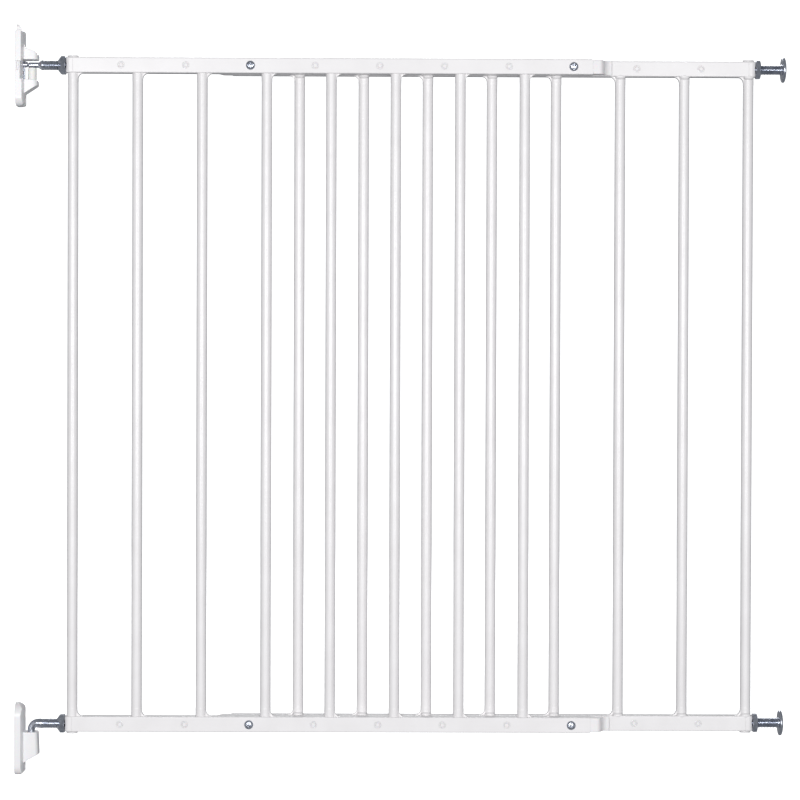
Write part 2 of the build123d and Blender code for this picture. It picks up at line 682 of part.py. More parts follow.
def stepped_plate(z):
    """Upper plate: a thick foot below the boss, a thin track above it and a narrow top tongue."""
    foot_height = UPPER_PLATE["top"] - UPPER_PLATE["bottom"]
    foot_middle = z + (UPPER_PLATE["top"] + UPPER_PLATE["bottom"]) / 2
    side_plane = Plane((0, 0, z), x_dir=(1, 0, 0), z_dir=(0, -1, 0))
    full_height = TONGUE_TOP - UPPER_PLATE["bottom"]
    plan = crown_profile(PLATE_WIDTH, UPPER_PLATE["crown"], UPPER_PLATE["edge"])
    side_outline = side_profile(UPPER_PLATE["bottom"], TONGUE_TOP, UPPER_PLATE["crown"])
    track = upper_track(z)
    with BuildPart() as plate:
        with BuildSketch(Plane.YZ) as foot:
            with Locations((0, foot_middle)):
                Rectangle(PLATE_WIDTH, foot_height)
            fillet(foot.vertices().group_by(Axis.Y)[0], PLATE_FOOT_RADIUS)
        extrude(amount=UPPER_PLATE["crown"])
        with BuildSketch(Plane.XY.offset(z + UPPER_PLATE["bottom"])):
            add(plan)
        extrude(amount=full_height, mode=Mode.INTERSECT)
        with BuildSketch(side_plane):
            add(side_outline)
        extrude(amount=PLATE_WIDTH, both=True, mode=Mode.INTERSECT)
        add(track)
    return plate.part


def upper_track(z):
    """Thin crowned part that the slider runs on, with the tongue on top."""
    height = UPPER_TRACK["top"] - UPPER_TRACK["bottom"]
    middle = z + (UPPER_TRACK["top"] + UPPER_TRACK["bottom"]) / 2
    plan = crown_profile(PLATE_WIDTH, UPPER_TRACK["crown"], UPPER_TRACK["edge"])
    side_outline = side_profile(UPPER_PLATE["bottom"], TONGUE_TOP, UPPER_TRACK["crown"])
    with BuildPart() as track:
        with BuildSketch(Plane.YZ) as outline:
            with Locations((0, middle)):
                Rectangle(PLATE_WIDTH, height)
            fillet(outline.vertices().group_by(Axis.Y)[-1], TRACK_TOP_RADIUS)
            with Locations((0, z + TONGUE_TOP / 2)):
                Rectangle(TONGUE_WIDTH, TONGUE_TOP)
            fillet(outline.vertices().group_by(Axis.Y)[-1], TONGUE_TOP_RADIUS)
        extrude(amount=UPPER_TRACK["crown"])
        with BuildSketch(Plane.XY.offset(z + UPPER_TRACK["bottom"])):
            add(plan)
        extrude(amount=TONGUE_TOP - UPPER_TRACK["bottom"], mode=Mode.INTERSECT)
        with BuildSketch(Plane((0, 0, z), x_dir=(1, 0, 0), z_dir=(0, -1, 0))):
            add(side_outline)
        extrude(amount=PLATE_WIDTH, both=True, mode=Mode.INTERSECT)
    return track.part


def make_bracket(level, plate, boss, hole_heights):
    """White moulded wall bracket: a crowned plate and a socket boss for the hinge pin."""
    z = rail_z(level)
    side_plane = Plane((0, 0, z), x_dir=(1, 0, 0), z_dir=(0, -1, 0))
    bore_radius = LEG_DIAMETER / 2 + BUSH_WALL + 2 * SOCKET_CLEARANCE
    boss_back = plate["crown"] - BOSS_ROOT
    base = stepped_plate(z) if level == "upper" else rounded_plate(z, plate)
    cuts = [wall_hole(z + hole_height) for hole_height in hole_heights]
    if level == "upper":
        cuts.append(track_cuts(z))
    with BuildPart() as bracket:
        add(base)
        with BuildSketch(side_plane):
            with BuildLine():
                Polyline(
                    (BOSS_INSIDE_WALL, boss["top"]),
                    (boss["top_reach"] - BOSS_TOP_EDGE, boss["top"]),
                    (boss["top_reach"], boss["top"] - BOSS_TOP_EDGE),
                    (boss["reach"], boss["slope_start"]),
                    (boss_back, boss["slope_end"]),
                    (BOSS_INSIDE_WALL, boss["slope_end"]),
                    close=True,
                )
            make_face()
        extrude(amount=BOSS_WIDTH / 2, both=True)
        front_face = bracket.faces().sort_by(Axis.X)[-1]
        nose_edges = [edge for edge in front_face.edges() if abs(edge.tangent_at(0.5).Z) > 0.9]
        fillet(nose_edges, BOSS_NOSE_RADIUS)
        with BuildSketch(Plane.XY.offset(z + boss["top"])):
            with Locations((HINGE_X, 0)):
                Circle(bore_radius)
        extrude(amount=-(LEG_END[level] + boss["top"] + SOCKET_FLOOR_GAP), mode=Mode.SUBTRACT)
        add(cuts, mode=Mode.SUBTRACT)
    save(bracket, f"{level}_wall_bracket")


def track_cuts(z):
    """Side grooves for the slider's ribs and the seat of the keeper."""
    groove_x = GROOVE_FROM_WALL + GROOVE_HEIGHT / 2
    groove_y = PLATE_WIDTH / 2 - GROOVE_DEPTH / 2
    seat = keeper_shape(z, KEEPER_CLEARANCE)
    with BuildPart() as cuts:
        with BuildSketch(Plane.XY.offset(z + GROOVE_END)):
            with Locations((groove_x, groove_y), (groove_x, -groove_y)):
                Rectangle(GROOVE_HEIGHT, GROOVE_DEPTH)
        extrude(amount=UPPER_TRACK["top"] - GROOVE_END)
        add(seat)
    return cuts.part


def keeper_shape(z, margin):
    """Upright rod with a short round stub at its top, both grown by a margin."""
    stub_start = KEEPER_STUB_START - margin
    with BuildPart() as shape:
        with BuildSketch(Plane.XY.offset(z + KEEPER_BOTTOM - margin)):
            with Locations((KEEPER_ROD_X, 0)):
                Circle(KEEPER_ROD_DIAMETER / 2 + margin)
        extrude(amount=KEEPER_STUB_Z - KEEPER_BOTTOM + margin)
        with BuildSketch(Plane((stub_start, 0, z + KEEPER_STUB_Z), z_dir=(1, 0, 0))):
            Circle(KEEPER_STUB_DIAMETER / 2 + margin)
        extrude(amount=KEEPER_STUB_END - stub_start)
    return shape.part


def make_keeper():
    """Zinc-plated keeper let into the upper bracket beside the pin's elbow."""
    shape = keeper_shape(rail_z("upper"), 0.0)
    with BuildPart() as keeper:
        add(shape)
        fillet(keeper.edges().filter_by(GeomType.CIRCLE).group_by(Axis.X)[-1], KEEPER_STUB_ROUND)
    save(keeper, "upper_keeper")


def hood_outline():
    """Side outline of the slider's hood: a blunt nose and a sloping back that meets the channel."""
    crown = UPPER_TRACK["crown"] + SLIDER_GAP
    back = crown - 1.0
    nose_top = (HOOD_REACH, HOOD_BOTTOM + HOOD_NOSE)
    brow = (HOOD_REACH - HOOD_BROW_SETBACK, HOOD_BOTTOM + HOOD_BROW)
    shoulder = (HOOD_REACH - HOOD_SHOULDER_SETBACK, HOOD_BOTTOM + HOOD_SHOULDER)
    slope_end = (crown + HOOD_SLOPE_REACH, HOOD_BOTTOM + HOOD_SLOPE)
    hollow = (crown + HOOD_HOLLOW_REACH, HOOD_BOTTOM + HOOD_HOLLOW)
    root = (crown + SLIDER_WALL, HOOD_BOTTOM + HOOD_ROOT)
    with BuildSketch() as outline:
        with BuildLine():
            Polyline((back, HOOD_BOTTOM), (HOOD_REACH, HOOD_BOTTOM), nose_top)
            ThreePointArc(nose_top, brow, shoulder)
            Line(shoulder, slope_end)
            ThreePointArc(slope_end, hollow, root)
            Polyline(root, (back, HOOD_BOTTOM + HOOD_ROOT), (back, HOOD_BOTTOM))
        make_face()
    return outline.sketch


def make_lock_slider():
    """Channel that slides up and down the upper bracket; its hood keeps the pin from lifting."""
    z = rail_z("upper")
    height = SLIDER_TOP - WING_BOTTOM
    crown = UPPER_TRACK["crown"] + SLIDER_GAP
    edge = UPPER_TRACK["edge"] + SLIDER_GAP
    inner_width = PLATE_WIDTH + 2 * SLIDER_GAP
    outer_width = inner_width + 2 * SLIDER_WALL
    rib_x = GROOVE_FROM_WALL + GROOVE_HEIGHT / 2
    rib_y = inner_width / 2 - GROOVE_DEPTH / 2
    rib_height = GROOVE_HEIGHT - 2 * SLIDER_GAP
    base = Plane.XY.offset(z + WING_BOTTOM)
    outer_plan = crown_profile(outer_width, crown + SLIDER_WALL, edge + SLIDER_EDGE_WALL)
    inner_plan = crown_profile(inner_width, crown, edge)
    hood = hood_outline()
    with BuildPart() as slider:
        with BuildSketch(base):
            add(outer_plan)
        extrude(amount=height)
        top_edges = slider.edges().group_by(Axis.Z)[-1].filter_by(GeomType.CIRCLE)
        fillet(top_edges, SLIDER_TOP_ROUND)
        with BuildSketch(base):
            Rectangle(4 * crown, 2 * WING_START)
        extrude(amount=HOOD_BOTTOM - WING_BOTTOM, mode=Mode.SUBTRACT)
        with BuildSketch(Plane((0, 0, z), x_dir=(1, 0, 0), z_dir=(0, -1, 0))):
            add(hood)
        extrude(amount=BOSS_WIDTH / 2, both=True)
        front_face = slider.faces().filter_by(Plane.YZ).sort_by(Axis.X)[-1]
        fillet(front_face.edges().filter_by(Axis.Z), BOSS_NOSE_RADIUS)
        with BuildSketch(base):
            add(inner_plan)
        extrude(amount=height, mode=Mode.SUBTRACT)
        with BuildSketch(base):
            with Locations((rib_x, rib_y), (rib_x, -rib_y)):
                Rectangle(rib_height, GROOVE_DEPTH)
        extrude(amount=height)
        with BuildSketch(base):
            Rectangle(2 * SLIDER_GAP, outer_width)
        extrude(amount=height, mode=Mode.SUBTRACT)
    save(slider, "lock_slider")


def make_bush(level, top, name):
    """Plastic sleeve round a hinge pin's leg."""
    z = rail_z(level)
    inner = LEG_DIAMETER / 2 + SOCKET_CLEARANCE
    with BuildPart() as bush:
        with BuildSketch(Plane.XY.offset(z - LEG_END[level])):
            with Locations((HINGE_X, 0)):
                Circle(inner + BUSH_WALL)
                Circle(inner, mode=Mode.SUBTRACT)
        extrude(amount=LEG_END[level] + top)
    save(bush, name)


make_bracket("lower", LOWER_PLATE, LOWER_BOSS, LOWER_WALL_HOLES)
make_bracket("upper", UPPER_PLATE, UPPER_BOSS, UPPER_WALL_HOLES)
make_keeper()
make_lock_slider()
make_bush("lower", LOWER_BOSS["top"], "lower_socket_bush")
make_bush("upper", SLEEVE_TOP, "upper_pin_sleeve")
for side_name in ("front", "rear"):
    for level_name in ("lower", "upper"):
        make_rail(side_name, level_name)
        make_corner_block(side_name, level_name)
        make_insert(side_name, level_name)
        make_end_plug(side_name, level_name)
    for bar_number in range(1, BARS_PER_PANEL + 1):
        make_bar(side_name, bar_number)
    make_hole_caps(side_name)
    make_gussets(side_name)
    make_collars(side_name)
for level_name in ("lower", "upper"):
    make_disc_bolt(level_name)
    make_jam_nut(level_name)
    make_hinge_pin(level_name)
    make_flare_nut(level_name)
make_clamp_screws()
make_clamp_nuts()
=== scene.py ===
"""Looks of the extending safety gate: powder-coated steel, zinc-plated fasteners and moulded brackets."""
import json
import math

import bmesh
import bpy
from mathutils import Matrix, Vector


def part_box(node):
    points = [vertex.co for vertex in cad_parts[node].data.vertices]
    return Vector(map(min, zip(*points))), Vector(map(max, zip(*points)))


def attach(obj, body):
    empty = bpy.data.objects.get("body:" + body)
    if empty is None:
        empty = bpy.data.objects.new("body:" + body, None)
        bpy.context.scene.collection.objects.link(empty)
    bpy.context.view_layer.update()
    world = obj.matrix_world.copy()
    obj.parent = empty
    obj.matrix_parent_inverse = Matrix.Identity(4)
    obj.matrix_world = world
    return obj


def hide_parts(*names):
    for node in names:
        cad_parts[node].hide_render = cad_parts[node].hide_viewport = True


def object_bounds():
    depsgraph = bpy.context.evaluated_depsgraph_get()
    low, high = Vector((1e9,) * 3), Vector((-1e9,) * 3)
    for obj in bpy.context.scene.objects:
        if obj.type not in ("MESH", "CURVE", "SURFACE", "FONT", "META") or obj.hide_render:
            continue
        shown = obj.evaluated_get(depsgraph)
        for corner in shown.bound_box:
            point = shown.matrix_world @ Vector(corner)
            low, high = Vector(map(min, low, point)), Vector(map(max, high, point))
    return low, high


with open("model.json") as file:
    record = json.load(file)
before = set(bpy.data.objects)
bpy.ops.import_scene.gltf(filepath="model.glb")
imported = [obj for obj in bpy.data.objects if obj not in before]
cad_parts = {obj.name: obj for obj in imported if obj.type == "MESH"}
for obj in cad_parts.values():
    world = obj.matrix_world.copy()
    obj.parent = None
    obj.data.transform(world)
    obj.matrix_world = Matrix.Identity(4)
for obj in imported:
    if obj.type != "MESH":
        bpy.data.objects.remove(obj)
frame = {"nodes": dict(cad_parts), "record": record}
cad_low, cad_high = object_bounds()
NODES = frame["nodes"]
PANELS = ("front", "rear")
LEVELS = ("lower", "upper")
MM = 0.001

# Sizes that the detailed pieces share, in millimetres
THREAD_MAJOR = 4.98
SHANK_RADIUS = 4.68
LEG_RADIUS = 3.6
NECK_RADIUS = 2.68
NECK_END = 4.0
NECK_ROUND = 1.6
DISC_LENGTH = 3.4
BEND_RADIUS = 6.0
SHANK_START = 10.0
STUD_RADIUS = 5.0
SCREW_HEAD_HEIGHT = 2.6
SCREW_HEAD_RADIUS = 4.5
THREAD_DEPTH = 0.85
THREAD_PITCH = 1.5
SCREW_PITCH = 0.8
BAR_SEGMENTS = 48
GUSSET_WIDTH = 6.0
GUSSET_DROP = 5.0
BARS_PER_PANEL = 8


def box_mm(node):
    """Lowest and highest corner of a CAD node in millimetres."""
    low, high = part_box(node)
    return low / MM, high / MM


# ---------------------------------------------------------------- materials


class Shader:
    """A Principled material and short ways to add nodes to it."""

    def __init__(self, name):
        self.material = bpy.data.materials.new(name)
        self.material.use_nodes = True
        self.tree = self.material.node_tree
        self.shader = self.tree.nodes["Principled BSDF"]
        coords = self.node("ShaderNodeTexCoord")
        self.place = coords.outputs["Object"]

    def node(self, kind, **settings):
        made = self.tree.nodes.new(kind)
        for key, value in settings.items():
            setattr(made, key, value)
        return made

    def link(self, source, target):
        self.tree.links.new(source, target)

    def set(self, **values):
        for name, value in values.items():
            self.shader.inputs[name.replace("_", " ").title().replace("Ior", "IOR")].default_value = value

    def noise(self, scale, detail=2.0, rough=0.5, stretch=(1, 1, 1)):
        mapping = self.node("ShaderNodeMapping")
        mapping.inputs["Scale"].default_value = stretch
        texture = self.node("ShaderNodeTexNoise")
        texture.inputs["Scale"].default_value = scale
        texture.inputs["Detail"].default_value = detail
        texture.inputs["Roughness"].default_value = rough
        self.link(self.place, mapping.inputs["Vector"])
        self.link(mapping.outputs["Vector"], texture.inputs["Vector"])
        return texture.outputs["Fac"]

    def ramp(self, value, low, high, start, end):
        ramp = self.node("ShaderNodeValToRGB")
        first, last = ramp.color_ramp.elements
        first.position, last.position = start, end
        first.color, last.color = (*low, 1), (*high, 1)
        self.link(value, ramp.inputs["Fac"])
        return ramp.outputs["Color"]

    def spread(self, value, low, high):
        spread = self.node("ShaderNodeMapRange")
        spread.inputs["To Min"].default_value = low
        spread.inputs["To Max"].default_value = high
        self.link(value, spread.inputs["Value"])
        return spread.outputs["Result"]

    def mix(self, factor, first, second, blend="MIX"):
        mix = self.node("ShaderNodeMix", data_type="RGBA", blend_type=blend)
        if isinstance(factor, float):
            mix.inputs["Factor"].default_value = factor
        else:
            self.link(factor, mix.inputs["Factor"])
        for source, socket in ((first, mix.inputs[6]), (second, mix.inputs[7])):
            if isinstance(source, tuple):
                socket.default_value = (*source, 1)
            else:
                self.link(source, socket)
        return mix.outputs[2]

    def bump(self, *layers):
        """Stacks height layers, each (value, strength, distance in metres)."""
        normal = None
        for value, strength, distance in layers:
            bump = self.node("ShaderNodeBump")
            bump.inputs["Strength"].default_value = strength
            bump.inputs["Distance"].default_value = distance
            self.link(value, bump.inputs["Height"])
            if normal is not None:
                self.link(normal, bump.inputs["Normal"])
            normal = bump.outputs["Normal"]
        self.link(normal, self.shader.inputs["Normal"])

    def colour(self, value):
        self.link(value, self.shader.inputs["Base Color"])

    def roughness(self, value):
        self.link(value, self.shader.inputs["Roughness"])

    def painted_crevice_shade(self):
        """1 in tight inner corners and 0 elsewhere: the mask for painted shade in inner corners, such as
        beside a weld.
        """
        geometry = self.node("ShaderNodeNewGeometry")
        span = self.node("ShaderNodeMapRange", clamp=True)
        span.inputs["From Min"].default_value = 0.49
        span.inputs["From Max"].default_value = 0.40
        self.link(geometry.outputs["Pointiness"], span.inputs["Value"])
        return span.outputs["Result"]


def powder_coat():
    """White powder coat: orange peel, faint thickness clouds, and painted shade where welds meet the tubes.
    """
    s = Shader("white_powder_coat")
    clouds = s.noise(38, 3.0, 0.55)
    base = s.ramp(clouds, (0.815, 0.795, 0.800), (0.860, 0.842, 0.848), 0.30, 0.72)
    specks = s.noise(2600, 1.0, 0.5)
    base = s.mix(s.spread(specks, 0.0, 0.07), base, (0.70, 0.68, 0.69))
    # Painted shade: greys the colour towards (0.62, 0.58, 0.57) in tight inner corners, such as beside the
    # welds.
    s.colour(s.mix(s.painted_crevice_shade(), base, (0.62, 0.58, 0.57)))
    peel = s.noise(720, 2.0, 0.45)
    s.roughness(s.spread(peel, 0.30, 0.44))
    s.bump((peel, 0.22, 0.00022), (s.noise(2400, 1.0, 0.5), 0.10, 0.00006))
    s.set(coat_weight=0.25, coat_roughness=0.22)
    return s.material


def zinc_plate():
    """Bright zinc: blue-grey metal with passivation tints, drawing lines and small scuffs."""
    s = Shader("zinc_plate")
    tint = s.noise(160, 4.0, 0.6)
    base = s.ramp(tint, (0.42, 0.45, 0.52), (0.72, 0.75, 0.82), 0.32, 0.70)
    stains = s.noise(420, 3.0, 0.7)
    s.colour(s.mix(s.spread(stains, 0.0, 0.28), base, (0.30, 0.31, 0.36)))
    lines = s.noise(900, 2.0, 0.6, stretch=(1.0, 1.0, 0.12))
    s.roughness(s.spread(s.noise(700, 3.0, 0.65), 0.14, 0.36))
    s.bump((lines, 0.10, 0.00005), (stains, 0.12, 0.00008))
    s.set(metallic=1.0)
    return s.material


def moulded(name, low, high, rough_low, rough_high, grain, subsurface):
    """Injection-moulded plastic: fine texture, faint flow clouds, painted shade in inner corners, slightly
    translucent.
    """
    s = Shader(name)
    flow = s.noise(55, 3.0, 0.5, stretch=(1.0, 1.0, 0.4))
    base = s.ramp(flow, low, high, 0.28, 0.74)
    # Painted shade: darkens the colour to 0.78 of the low tone in tight inner corners.
    s.colour(s.mix(s.painted_crevice_shade(), base, tuple(c * 0.78 for c in low)))
    texture = s.noise(grain, 2.0, 0.55)
    s.roughness(s.spread(texture, rough_low, rough_high))
    s.bump((texture, 0.14, 0.00008), (s.noise(210, 2.0, 0.5), 0.10, 0.00025))
    s.set(subsurface_weight=subsurface, subsurface_scale=0.002)
    return s.material


def studio_white():
    """Matt, very slightly mottled and self-lit paper for the floor and the backdrop."""
    s = Shader("studio_paper")
    s.colour(s.ramp(s.noise(3.0, 2.0, 0.5), (0.90, 0.90, 0.90), (0.93, 0.93, 0.93), 0.3, 0.7))
    s.roughness(s.spread(s.noise(40, 2.0, 0.5), 0.85, 0.95))
    s.set(emission_color=(1, 1, 1, 1), emission_strength=0.95)
    return s.material


MATERIALS = {
    "white_powder_coat": powder_coat(),
    "zinc_plate": zinc_plate(),
    "bracket_plastic": moulded(
        "bracket_plastic", (0.83, 0.82, 0.83), (0.87, 0.86, 0.87), 0.28, 0.40, 1500, 0.05
    ),
    "plug_plastic": moulded(
        "plug_plastic", (0.82, 0.80, 0.81), (0.86, 0.84, 0.85), 0.36, 0.50, 1300, 0.04
    ),
    "bush_plastic": moulded(
        "bush_plastic", (0.84, 0.82, 0.79), (0.88, 0.87, 0.85), 0.38, 0.52, 1100, 0.08
    ),
}

# ---------------------------------------------------------------- mesh helpers


def piece(name, bm, body, slot, *replaced, angle=35.0):
    """Turns a bmesh in millimetres into a finished piece that rides on a body."""
    bmesh.ops.recalc_face_normals(bm, faces=bm.faces)
    bmesh.ops.scale(bm, vec=Vector((MM, MM, MM)), verts=bm.verts)
    mesh = bpy.data.meshes.new(name)
    bm.to_mesh(mesh)
    bm.free()
    mesh.materials.append(MATERIALS[slot])
    made = bpy.data.objects.new(name, mesh)
    bpy.context.scene.collection.objects.link(made)
    smooth_by_angle(mesh, angle)
    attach(made, body)
    if replaced:
        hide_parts(*replaced)
    return made


def smooth_by_angle(mesh, degrees):
    """Smooth shading, kept sharp on edges steeper than the angle."""
    mesh.shade_smooth()
    mesh.set_sharp_from_angle(angle=math.radians(degrees))


def lathe(bm, profile, matrix, segments=64):
    """Revolves (along, radius) points about the local X axis; ends on the axis are closed."""
    rings = []
    for along, radius in profile:
        if radius < 1e-6:
            rings.append([bm.verts.new(matrix @ Vector((along, 0, 0)))])
            continue
        ring = []
        for i in range(segments):
            turn = 2 * math.pi * i / segments
            point = Vector((along, radius * math.cos(turn), radius * math.sin(turn)))
            ring.append(bm.verts.new(matrix @ point))
        rings.append(ring)
    bridge(bm, rings)


def bridge(bm, rings):
    """Faces between neighbouring rings; a ring of one point makes a fan."""
    for first, second in zip(rings, rings[1:]):
        count = max(len(first), len(second))
        for i in range(count):
            j = (i + 1) % count
            if len(first) == 1 and len(second) > 1:
                bm.faces.new((first[0], second[j], second[i]))
            elif len(second) == 1 and len(first) > 1:
                bm.faces.new((first[i], first[j], second[0]))
            elif len(first) > 1:
                bm.faces.new((first[i], first[j], second[j], second[i]))


def arc_profile(centre, radius, start, end, steps):
    """Points of an arc in (along, radius) space, angles in degrees."""
    points = []
    for i in range(steps + 1):
        turn = math.radians(start + (end - start) * i / steps)
        points.append((centre[0] + radius * math.cos(turn), centre[1] + radius * math.sin(turn)))
    return points


def thread_depth(phase):
    """0 on a thread's crest and 1 in its root, for a rounded 60 degree form."""
    ramp = abs((phase % 1.0) * 2 - 1)
    return min(1.0, max(0.0, (ramp - 0.10) / 0.76))


def threaded_rings(matrix, start, end, major, depth, pitch, bm, segments=48, per_turn=8):
    """Rings of a helical thread along local X, run out over one pitch at both ends."""
    rings = []
    step = pitch / per_turn
    count = int((end - start) / step)
    for k in range(count + 1):
        along = start + (end - start) * k / count
        fade = min(1.0, (along - start) / pitch, (end - along) / pitch)
        ring = []
        for i in range(segments):
            turn = 2 * math.pi * i / segments
            cut = depth * thread_depth(along / pitch - turn / (2 * math.pi)) * max(fade, 0.0)
            radius = major - cut
            point = Vector((along, radius * math.cos(turn), radius * math.sin(turn)))
            ring.append(bm.verts.new(matrix @ point))
        rings.append(ring)
    return rings


def plain_ring(bm, matrix, along, radius, segments=48):
    ring = []
    for i in range(segments):
        turn = 2 * math.pi * i / segments
        ring.append(bm.verts.new(matrix @ Vector((along, radius * math.cos(turn), radius * math.sin(turn)))))
    return ring


def soften(made, voxel, passes, factor=0.5):
    """Rounds a hard CAD edge the way a mould or a coat of powder does."""
    weld = made.modifiers.new("weld", "WELD")
    weld.merge_threshold = 0.00001
    remesh = made.modifiers.new("remesh", "REMESH")
    remesh.mode = "VOXEL"
    remesh.voxel_size = voxel * MM
    remesh.use_smooth_shade = True
    smooth = made.modifiers.new("smooth", "SMOOTH")
    smooth.factor = factor
    smooth.iterations = passes


# ---------------------------------------------------------------- CAD nodes that keep their shape

SLOT_OF = {entry["node"]: entry["material_slot"] for entry in frame["record"]["subparts"]}
for node_name, node in NODES.items():
    node.data.materials.clear()
    node.data.materials.append(MATERIALS[SLOT_OF[node_name]])

for panel in PANELS:
    for level in LEVELS:
        soften(NODES[f"{panel}_{level}_corner_block"], 0.35, 3)
        soften(NODES[f"{panel}_{level}_end_plug"], 0.45, 3)
for bracket in ("lower_wall_bracket", "upper_wall_bracket", "lock_slider"):
    soften(NODES[bracket], 0.32, 2)

# ---------------------------------------------------------------- bars


def make_bar(node):
    """Drawn tube of even radius along its length, closed at both ends."""
    low, high = box_mm(node)
    radius = (high.x - low.x) / 2
    turned = Matrix.Translation(((low.x + high.x) / 2, (low.y + high.y) / 2, 0)) @ Matrix.Rotation(
        math.radians(-90), 4, "Y"
    )
    profile = [(low.z, 0.0), (low.z, radius - 0.05)]
    for i in range(1, 40):
        profile.append((low.z + (high.z - low.z) * i / 40, radius))
    profile += [(high.z, radius - 0.05), (high.z, 0.0)]
    bm = bmesh.new()
    lathe(bm, profile, turned, BAR_SEGMENTS)
    return piece(node + "_tube", bm, "gate", "white_powder_coat", node)


for panel in PANELS:
    for number in range(1, BARS_PER_PANEL + 1):
        make_bar(f"{panel}_bar_{number}")

# ---------------------------------------------------------------- welds


def weld_template(radius, half_depth):
    """One bar end: stub, concave gusset towards +X and a bead lapping the face at +Y; +Z is the bar."""
    bm = bmesh.new()
    lathe(bm, [(-0.7, 0), (-0.7, radius + 0.12), (8.2, radius + 0.12), (9.0, radius - 0.3), (9.0, 0)],
          Matrix.Rotation(math.radians(-90), 4, "Y"), 40)
    sweep = []
    for i in range(9):
        turn = math.radians(90) * i / 8
        x = radius + GUSSET_WIDTH * (1 - math.sin(turn))
        z = GUSSET_DROP * (1 - math.cos(turn))
        sweep.append((x, z))
    outline = [(0, -0.7), (radius + GUSSET_WIDTH, -0.7)] + sweep + [(0, GUSSET_DROP)]
    left = [bm.verts.new((x, -2.7, z)) for x, z in outline]
    right = [bm.verts.new((x, 2.7, z)) for x, z in outline]
    bm.faces.new(left)
    bm.faces.new(list(reversed(right)))
    for i in range(len(outline)):
        j = (i + 1) % len(outline)
        bm.faces.new((left[i], left[j], right[j], right[i]))
    bead = bmesh.ops.create_uvsphere(bm, u_segments=32, v_segments=20, radius=1.0)["verts"]
    bmesh.ops.scale(bm, vec=Vector((5.0, 3.6, 2.8)), verts=bead)
    bmesh.ops.translate(bm, vec=Vector((0, half_depth - 2.95, 0.1)), verts=bead)
    return bm


def fused(bm, voxel, passes):
    """The union of a bmesh's closed shells with softened edges, as a mesh."""
    bmesh.ops.recalc_face_normals(bm, faces=bm.faces)
    mesh = bpy.data.meshes.new("fusing")
    bm.to_mesh(mesh)
    bm.free()
    shell = bpy.data.objects.new("fusing", mesh)
    bpy.context.scene.collection.objects.link(shell)
    remesh = shell.modifiers.new("remesh", "REMESH")
    remesh.mode = "VOXEL"
    remesh.voxel_size = voxel
    smooth = shell.modifiers.new("smooth", "SMOOTH")
    smooth.iterations = passes
    evaluated = shell.evaluated_get(bpy.context.evaluated_depsgraph_get())
    result = bpy.data.meshes.new_from_object(evaluated)
    bpy.data.objects.remove(shell)
    return result


def make_welds(panel, template):
    """Copies of the weld at both ends of every bar of a panel, as one piece."""
    side = 1 if panel == "front" else -1
    bm = bmesh.new()
    for number in range(1, BARS_PER_PANEL + 1):
        low, high = box_mm(f"{panel}_bar_{number}")
        x, y = (low.x + high.x) / 2, (low.y + high.y) / 2
        for z, up in ((low.z, 1), (high.z, -1)):
            before = len(bm.verts)
            faces_before = len(bm.faces)
            bm.from_mesh(template)
            bm.verts.ensure_lookup_table()
            placed = Matrix.Translation((x, y, z)) @ Matrix.Diagonal((side, side, up, 1))
            bmesh.ops.transform(bm, matrix=placed, verts=bm.verts[before:])
            bm.faces.ensure_lookup_table()
            if up < 0:
                bmesh.ops.reverse_faces(bm, faces=bm.faces[faces_before:])
    return piece(f"{panel}_welds", bm, "gate", "white_powder_coat",
                 f"{panel}_panel_gussets", f"{panel}_panel_weld_collars", angle=60)


first_low, first_high = box_mm("front_bar_1")
rail_low, rail_high = box_mm("front_lower_rail")
WELD = fused(weld_template((first_high.x - first_low.x) / 2, (rail_high.y - rail_low.y) / 2), 0.42, 4)
for panel in PANELS:
    make_welds(panel, WELD)

# ---------------------------------------------------------------- disc bolts


def make_disc_bolt(level):
    """Threaded stud with a domed disc head whose rim is rounded."""
    node = f"{level}_disc_bolt"
    low, high = box_mm(node)
    placed = Matrix.Translation((0, (low.y + high.y) / 2, (low.z + high.z) / 2))
    radius = (high.z - low.z) / 2
    disc_start = high.x - DISC_LENGTH
    bm = bmesh.new()
    rings = [plain_ring(bm, placed, low.x, 0.02), plain_ring(bm, placed, low.x, THREAD_MAJOR - 1.0)]
    thread_start, thread_end = low.x + 1.0, disc_start - 0.2
    rings += threaded_rings(placed, thread_start, thread_end, THREAD_MAJOR, THREAD_DEPTH, THREAD_PITCH, bm)
    head = [(disc_start, THREAD_MAJOR + 0.25), (disc_start + 0.1, THREAD_MAJOR + 1.2)]
    head += [(disc_start + 0.12, radius - 2.5)]
    head += arc_profile((disc_start + 1.55, radius - 1.5), 1.5, 200, 50, 10)
    head += [(disc_start + 3.05, radius - 1.3), (high.x - 0.04, radius - 2.4)]
    head += [(high.x, radius - 3.4), (high.x, 0.02)]
    rings += [plain_ring(bm, placed, along, r) for along, r in head]
    bridge(bm, rings)
    bmesh.ops.remove_doubles(bm, verts=bm.verts, dist=0.005)
    return piece(f"{level}_stud_and_disc", bm, f"{level}_disc_bolt", "zinc_plate", node, angle=40)


# ---------------------------------------------------------------- hinge pins


def tube_rings(bm, stations, segments=48):
    """Rings of given radius on planes that are square to a path in the XZ plane."""
    rings = []
    for point, angle, radius in stations:
        turn = math.radians(angle)
        across = Vector((math.sin(turn), 0, math.cos(turn)))
        ring = []
        for k in range(segments):
            around = 2 * math.pi * k / segments
            offset = Vector((0, radius * math.cos(around), 0)) + across * (radius * math.sin(around))
            ring.append(bm.verts.new(Vector(point) + offset))
        rings.append(ring)
    return rings


def threaded_shank(bm, z, start, end):
    """Rolled thread from the outer end back to `start`, as rings that run inwards."""
    placed = Matrix.Translation((0, 0, z))
    rings = [plain_ring(bm, placed, end, 0.02), plain_ring(bm, placed, end, THREAD_MAJOR - 1.0)]
    major, depth = SHANK_RADIUS + 0.12, THREAD_DEPTH * 0.62
    thread = threaded_rings(placed, start, end - 1.0, major, depth, THREAD_PITCH, bm)
    return rings + list(reversed(thread))


